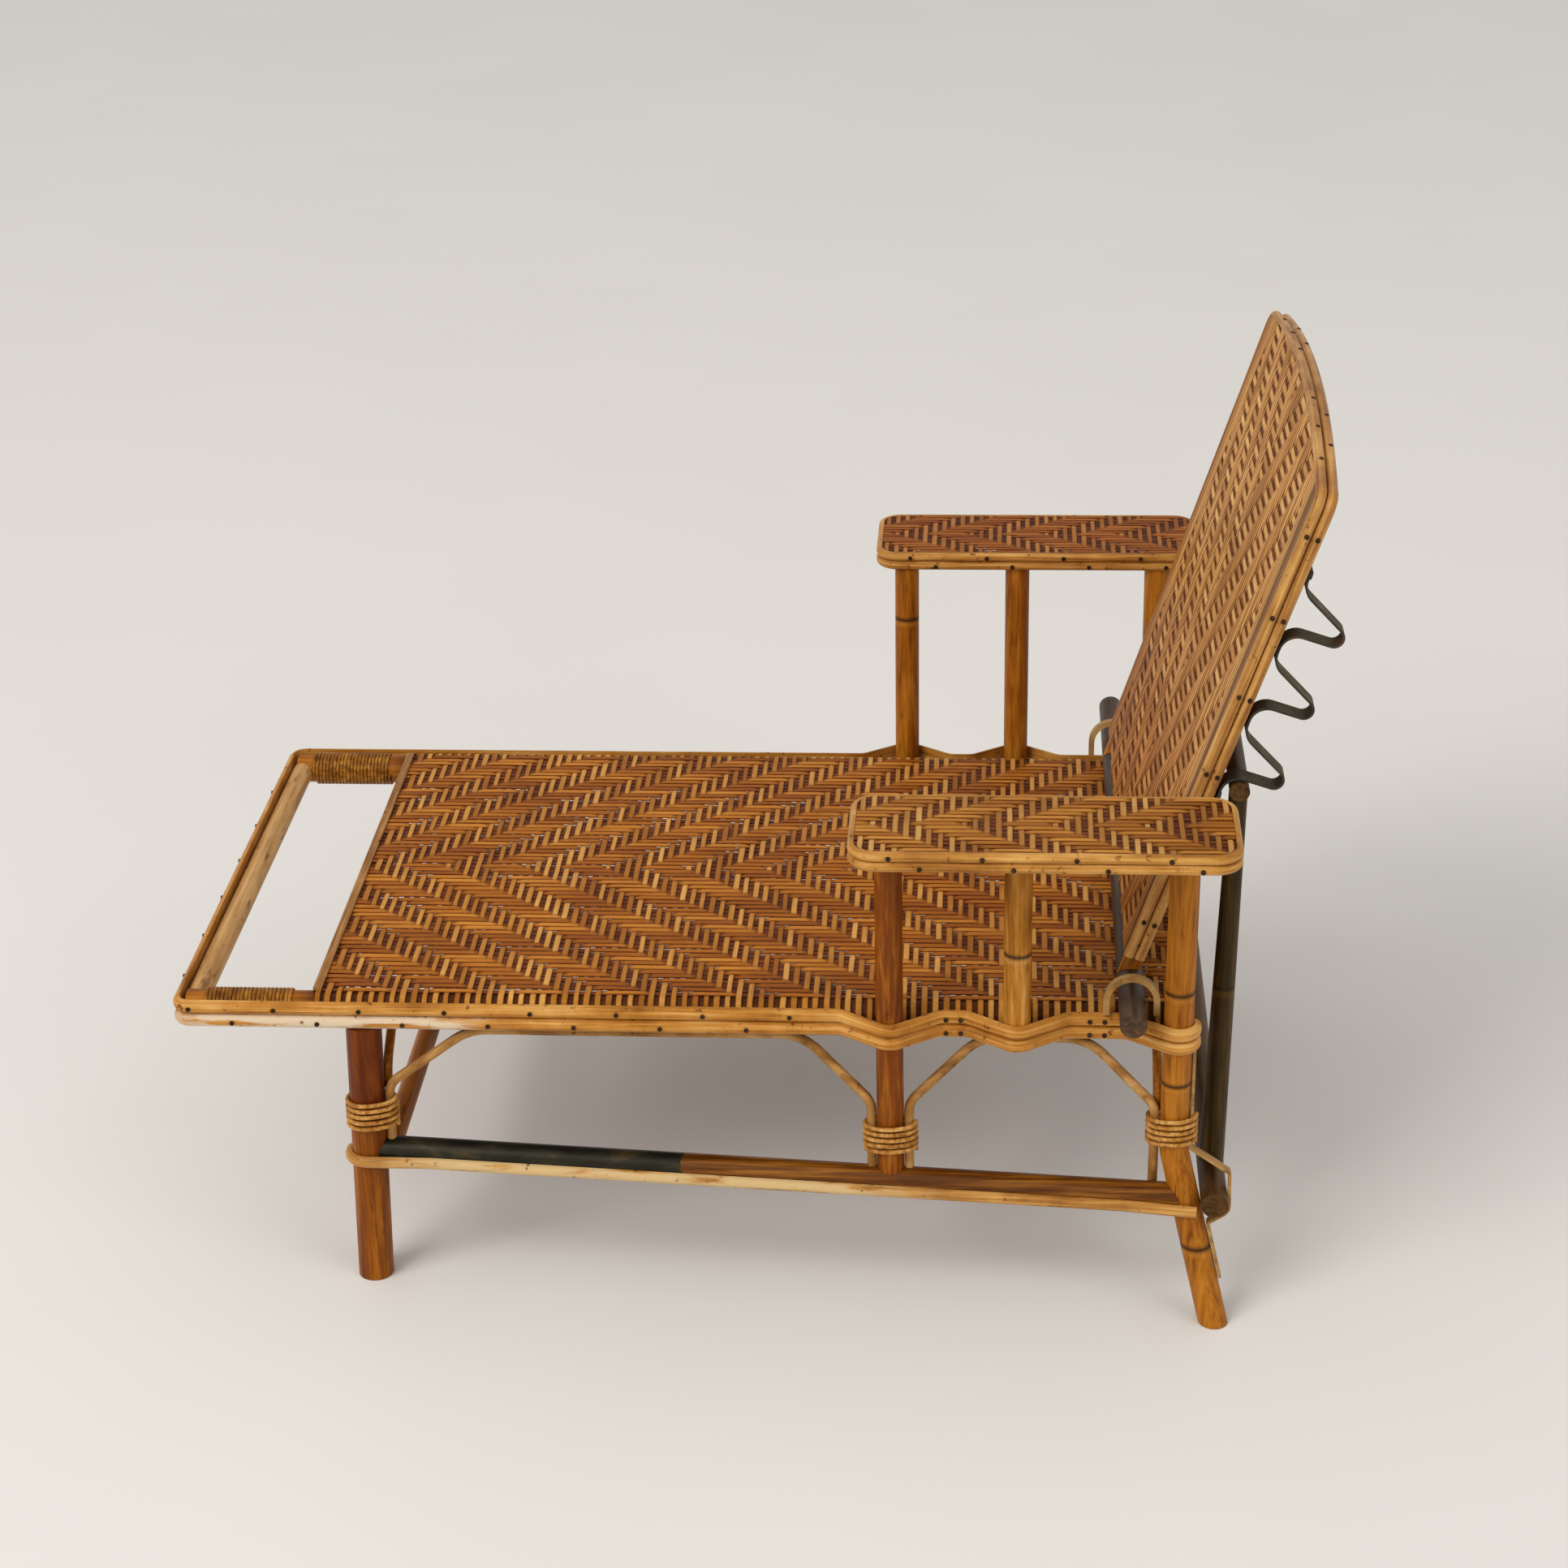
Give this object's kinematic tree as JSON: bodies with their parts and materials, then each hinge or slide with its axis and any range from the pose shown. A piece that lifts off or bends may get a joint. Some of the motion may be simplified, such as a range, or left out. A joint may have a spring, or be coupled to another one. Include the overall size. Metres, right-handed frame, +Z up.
{
  "type": "chaise longue",
  "caption": "Low chaise longue of rattan poles and woven cane: long seat with a hand opening at the foot, two armrests, and a back that tilts on a bar against a notched rack and swinging prop.",
  "frame": {"origin": "on the floor, in the middle of the whole length and width", "axes": "+X towards the head end, +Y to the sitter's right, +Z up"},
  "size_m": [0.8272, 0.6344, 0.6391],
  "materials": {
    "rattan_pole": "varnished, satin",
    "dark_pole": "weathered, matt",
    "woven_cane": "varnished, satin",
    "split_cane": "varnished, satin",
    "binding_cane": "varnished, glossy",
    "iron": "dark, worn",
    "nail_heads": "rusted dark"
  },
  "bodies": {
    "frame": {"arm_cross_bars": "rattan_pole", "arm_frame_left": "rattan_pole", "arm_frame_right": "rattan_pole", "arm_strips_lower": "split_cane", "arm_strips_upper": "split_cane", "arm_weave_left": "woven_cane", "arm_weave_right": "woven_cane", "cross_braces": "rattan_pole", "edge_strip_lower": "split_cane", "edge_strip_upper": "split_cane", "foot_bar": "rattan_pole", "frame_nails": "nail_heads", "front_leg_bindings": "binding_cane", "front_leg_left": "rattan_pole", "front_leg_right": "rattan_pole", "front_post_left": "rattan_pole", "front_post_right": "rattan_pole", "front_stretcher": "rattan_pole", "middle_post_left": "rattan_pole", "middle_post_right": "rattan_pole", "pivot_arches": "split_cane", "post_bindings": "binding_cane", "prop_bar_loops": "split_cane", "rail_winding_left": "binding_cane", "rail_winding_right": "binding_cane", "rear_leg_bindings": "binding_cane", "rear_leg_left": "rattan_pole", "rear_leg_right": "rattan_pole", "seat_middle_rail": "rattan_pole", "seat_rear_rail": "rattan_pole", "seat_weave": "woven_cane", "side_brace_front_left": "rattan_pole", "side_brace_front_right": "rattan_pole", "side_brace_rear_left": "rattan_pole", "side_brace_rear_right": "rattan_pole", "side_rail_left": "rattan_pole", "side_rail_right": "rattan_pole", "side_stretcher_left": "rattan_pole", "side_stretcher_right": "rattan_pole", "stretcher_strip_left": "split_cane", "stretcher_strip_right": "split_cane", "weave_edge_rail": "rattan_pole", "weave_edge_strip": "split_cane"},
    "back": {"back_lower_rail": "rattan_pole", "back_middle_rail": "rattan_pole", "back_nails": "nail_heads", "back_side_pole_left": "rattan_pole", "back_side_pole_right": "rattan_pole", "back_strip_front": "split_cane", "back_strip_rear": "split_cane", "back_top_bow": "rattan_pole", "back_weave": "woven_cane", "pivot_bar": "dark_pole", "rack_screws": "nail_heads", "rack_strap_left": "iron", "rack_strap_right": "iron"},
    "prop": {"prop_bottom_bar": "dark_pole", "prop_pole_left": "dark_pole", "prop_pole_right": "dark_pole", "prop_top_bar": "dark_pole"}
  },
  "joints": [
    {"name": "back_tilt", "type": "hinge", "parent": "frame", "child": "back", "pos_m": [0.2774, 0, 0.24745], "axis": [0, 1, 0], "range_deg": [-90, 0]},
    {"name": "prop_swing", "type": "hinge", "parent": "frame", "child": "prop", "pos_m": [0.33988, 0, 0.094], "axis": [0, 1, 0], "range_deg": [0, 18]}
  ],
  "couplings": [
    {"joint": "prop_swing", "follows": "back_tilt", "ratio": -0.2}
  ]
}
